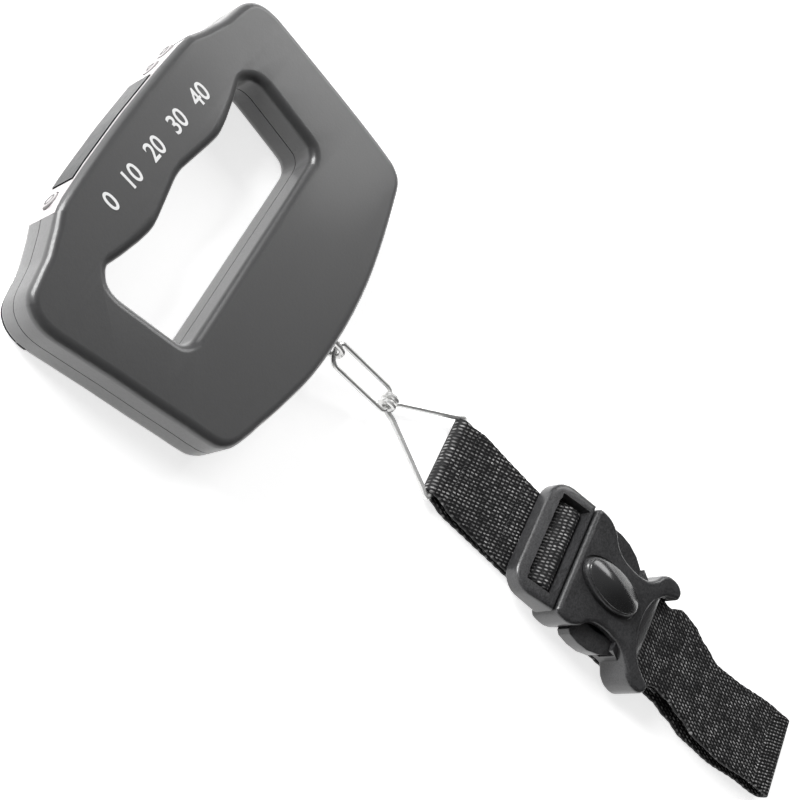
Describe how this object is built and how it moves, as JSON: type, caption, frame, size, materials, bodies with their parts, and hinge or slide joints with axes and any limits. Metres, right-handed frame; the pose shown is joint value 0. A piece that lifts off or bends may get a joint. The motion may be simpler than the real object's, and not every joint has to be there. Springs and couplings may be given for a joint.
{
  "type": "digital luggage scale",
  "caption": "Handheld digital luggage scale: a hollow two-shell grip with a display in its crown, a wire link and ring, and a webbing loop with a side-release buckle.",
  "frame": {"origin": "centre of the outline on the floor, with the scale lying on its back", "axes": "+Z out of the front face, +Y towards the display edge, -Y along the strap"},
  "size_m": [0.1052, 0.2758, 0.0156],
  "materials": {
    "case_plastic": "satin moulded",
    "panel_plastic": "smooth moulded",
    "lens": "polished",
    "display": "smooth",
    "button_plastic": "satin",
    "black_plastic": "satin",
    "board": "solder mask",
    "beam_metal": "milled",
    "gauge_film": "film",
    "screw_steel": "zinc plated",
    "wire_steel": "nickel plated",
    "cell_steel": "plated",
    "contact_brass": "plated",
    "webbing": "woven tape",
    "buckle_plastic": "moulded"
  },
  "bodies": {
    "case": {"front_shell": "case_plastic", "back_shell": "case_plastic", "top_panel": "panel_plastic", "lcd_lens": "lens", "load_eye": "wire_steel", "lcd_module": "display", "switch_left": "black_plastic", "switch_centre": "black_plastic", "switch_right": "black_plastic", "circuit_board": "board", "main_chip": "black_plastic", "load_beam": "beam_metal", "strain_gauge": "gauge_film", "beam_screw_outer": "screw_steel", "beam_screw_inner": "screw_steel", "coin_cell": "cell_steel", "cell_contact": "contact_brass", "case_screw_a": "screw_steel", "case_screw_b": "screw_steel", "case_screw_c": "screw_steel", "case_screw_d": "screw_steel"},
    "button_left": {"button_left": "button_plastic"},
    "button_centre": {"button_centre": "button_plastic"},
    "button_right": {"button_right": "button_plastic"},
    "battery_cover": {"battery_cover": "case_plastic"},
    "link": {"wire_link": "wire_steel"},
    "ring": {"strap_ring": "wire_steel"},
    "strap": {"webbing_front": "webbing", "buckle_male": "buckle_plastic"},
    "latch_arm_left": {"latch_arm_left": "buckle_plastic"},
    "latch_arm_right": {"latch_arm_right": "buckle_plastic"},
    "loop_end": {"webbing_loop": "webbing"},
    "female_half": {"buckle_female": "buckle_plastic", "webbing_tail": "webbing"}
  },
  "joints": [
    {"name": "button_left_press", "type": "slide", "parent": "case", "child": "button_left", "axis": [0, -1, 0], "range_m": [0, 0.0005], "stiffness_N_per_m": 200},
    {"name": "button_centre_press", "type": "slide", "parent": "case", "child": "button_centre", "axis": [0, -1, 0], "range_m": [0, 0.0005], "stiffness_N_per_m": 200},
    {"name": "button_right_press", "type": "slide", "parent": "case", "child": "button_right", "axis": [0, -1, 0], "range_m": [0, 0.0005], "stiffness_N_per_m": 200},
    {"name": "battery_cover_slide", "type": "slide", "parent": "case", "child": "battery_cover", "axis": [-0.6, 0.8, 0], "range_m": [0, 0.016]},
    {"name": "link_swing", "type": "hinge", "parent": "case", "child": "link", "pos_m": [-0.00005, 0.06053, 0.008], "axis": [0.9838, 0.1793, 0], "range_deg": [-60, 60]},
    {"name": "ring_swing", "type": "hinge", "parent": "link", "child": "ring", "pos_m": [0.00405, 0.03803, 0.00295], "axis": [0.9995, 0.0314, 0], "range_deg": [-55, 55]},
    {"name": "strap_swing", "type": "hinge", "parent": "ring", "child": "strap", "pos_m": [0.00479, 0.01465, 0.0024], "axis": [0.9995, 0.0314, 0], "range_deg": [-60, 60]},
    {"name": "latch_left_squeeze", "type": "hinge", "parent": "strap", "child": "latch_arm_left", "pos_m": [-0.0034, -0.03349, 0.0072], "axis": [0, 0, 1], "range_deg": [0, 10], "stiffness_Nm_per_rad": 0.05},
    {"name": "latch_right_squeeze", "type": "hinge", "parent": "strap", "child": "latch_arm_right", "pos_m": [0.0146, -0.03324, 0.0072], "axis": [0, 0, 1], "range_deg": [-10, 0], "stiffness_Nm_per_rad": 0.05},
    {"name": "tape_run", "type": "slide", "parent": "strap", "child": "loop_end", "axis": [0.014, -0.9999, 0], "range_m": [0, 0.0125]},
    {"name": "buckle_release", "type": "slide", "parent": "loop_end", "child": "female_half", "axis": [0.014, -0.9999, 0], "range_m": [0, 0.0125], "deforming": ["webbing_tail", "latch_arm_left", "latch_arm_right"]}
  ],
  "couplings": [
    {"joint": "tape_run", "follows": "buckle_release", "ratio": 1}
  ]
}
